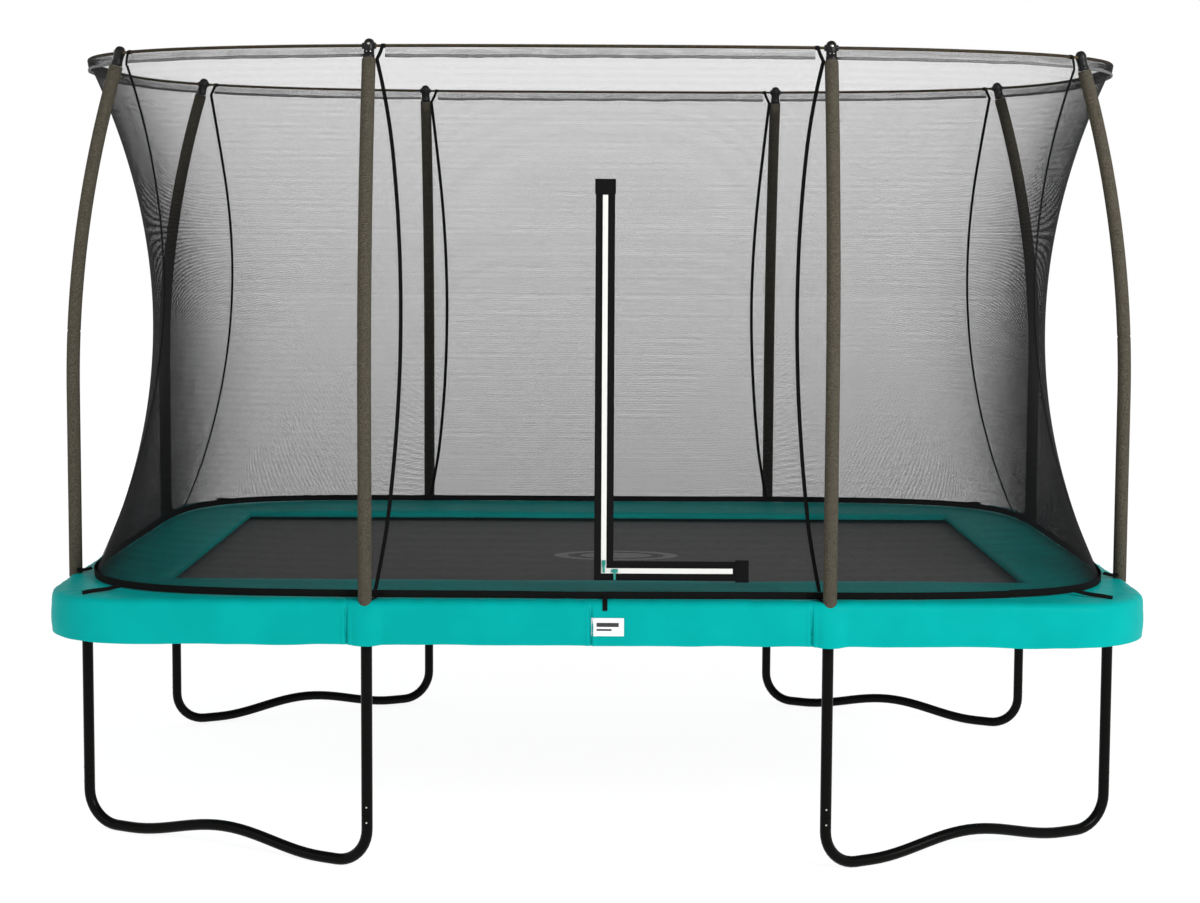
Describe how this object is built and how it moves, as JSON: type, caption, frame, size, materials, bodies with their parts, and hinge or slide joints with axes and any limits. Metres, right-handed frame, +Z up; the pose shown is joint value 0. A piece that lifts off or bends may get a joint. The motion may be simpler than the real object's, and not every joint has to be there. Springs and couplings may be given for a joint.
{
  "type": "rectangular trampoline with safety net",
  "caption": "Rectangular garden trampoline on bent tube legs, with padded net poles, a top ring, a mesh safety net with a zipped corner flap, an edge pad with a skirt and a sprung mat.",
  "frame": {"origin": "on the ground, under the middle of the jumping mat", "axes": "+X along the long side, +Y away from the entrance side, +Z up"},
  "size_m": [3.8, 2.5198, 2.7619],
  "materials": {
    "galvanised_tube": "galvanised, dull",
    "leg_paint": "glossy black powder coat",
    "pole_foam": "soft closed foam, matt brown grey",
    "cap_plastic": "moulded black",
    "fibreglass_rod": "drawn glass fibre, olive",
    "net_mesh": "fine black knitted mesh, see-through",
    "zip_black": "black webbing",
    "zip_white": "white tape",
    "zip_teal": "moulded teal",
    "pad_cover": "teal coated fabric with a soft sheen",
    "mat_weave": "dark woven plastic",
    "mat_print": "light grey print",
    "label_white": "white sewn label",
    "spring_steel": "zinc plated"
  },
  "bodies": {
    "frame": {"front_rail": "galvanised_tube", "back_rail": "galvanised_tube", "left_end_rail": "galvanised_tube", "right_end_rail": "galvanised_tube", "corner_rail_front_left": "galvanised_tube", "leg_base_front_left": "leg_paint", "leg_upright_front_left_mid": "leg_paint", "net_pole_front_left_mid": "galvanised_tube", "pole_foam_front_left_mid": "pole_foam", "pole_cap_front_left_mid": "cap_plastic", "leg_upright_front_left_end": "leg_paint", "net_pole_front_left_end": "galvanised_tube", "pole_foam_front_left_end": "pole_foam", "pole_cap_front_left_end": "cap_plastic", "corner_rail_front_right": "galvanised_tube", "leg_base_front_right": "leg_paint", "leg_upright_front_right_mid": "leg_paint", "net_pole_front_right_mid": "galvanised_tube", "pole_foam_front_right_mid": "pole_foam", "pole_cap_front_right_mid": "cap_plastic", "leg_upright_front_right_end": "leg_paint", "net_pole_front_right_end": "galvanised_tube", "pole_foam_front_right_end": "pole_foam", "pole_cap_front_right_end": "cap_plastic", "corner_rail_back_left": "galvanised_tube", "leg_base_back_left": "leg_paint", "leg_upright_back_left_mid": "leg_paint", "net_pole_back_left_mid": "galvanised_tube", "pole_foam_back_left_mid": "pole_foam", "pole_cap_back_left_mid": "cap_plastic", "leg_upright_back_left_end": "leg_paint", "net_pole_back_left_end": "galvanised_tube", "pole_foam_back_left_end": "pole_foam", "pole_cap_back_left_end": "cap_plastic", "corner_rail_back_right": "galvanised_tube", "leg_base_back_right": "leg_paint", "leg_upright_back_right_mid": "leg_paint", "net_pole_back_right_mid": "galvanised_tube", "pole_foam_back_right_mid": "pole_foam", "pole_cap_back_right_mid": "cap_plastic", "leg_upright_back_right_end": "leg_paint", "net_pole_back_right_end": "galvanised_tube", "pole_foam_back_right_end": "pole_foam", "pole_cap_back_right_end": "cap_plastic", "ring_rod_left": "fibreglass_rod", "ring_rod_right": "fibreglass_rod", "net_front": "net_mesh", "net_left": "net_mesh", "net_back": "net_mesh", "net_right": "net_mesh", "pad_front": "pad_cover", "pad_back": "pad_cover", "pad_left": "pad_cover", "pad_right": "pad_cover"},
    "mat": {"jump_mat": "mat_weave", "spring_set": "spring_steel"},
    "door": {"door_flap": "net_mesh"},
    "zip_slider_up": {"zip_slider_up": "zip_teal"},
    "zip_slider_across": {"zip_slider_across": "zip_teal"}
  },
  "joints": [
    {"name": "mat_bounce", "type": "slide", "parent": "frame", "child": "mat", "axis": [0, 0, 1], "range_m": [-0.45, 0], "stiffness_N_per_m": 5000, "springref_m": 0.02, "deforming": ["spring_set"]},
    {"name": "door_fold", "type": "hinge", "parent": "frame", "child": "door", "pos_m": [0.235, -1.15179, 1.63], "axis": [0.3271, -0.0568, -0.9433], "range_deg": [0, 110]},
    {"name": "zip_run_up", "type": "slide", "parent": "frame", "child": "zip_slider_up", "axis": [0, 0.0604, 0.9982], "range_m": [0, 1.2]},
    {"name": "zip_run_across", "type": "slide", "parent": "frame", "child": "zip_slider_across", "axis": [1, 0, 0], "range_m": [0, 0.385]}
  ],
  "couplings": [
    {"joint": "zip_run_up", "follows": "door_fold", "m_per_rad": 0.625},
    {"joint": "zip_run_across", "follows": "door_fold", "m_per_rad": 0.2}
  ]
}
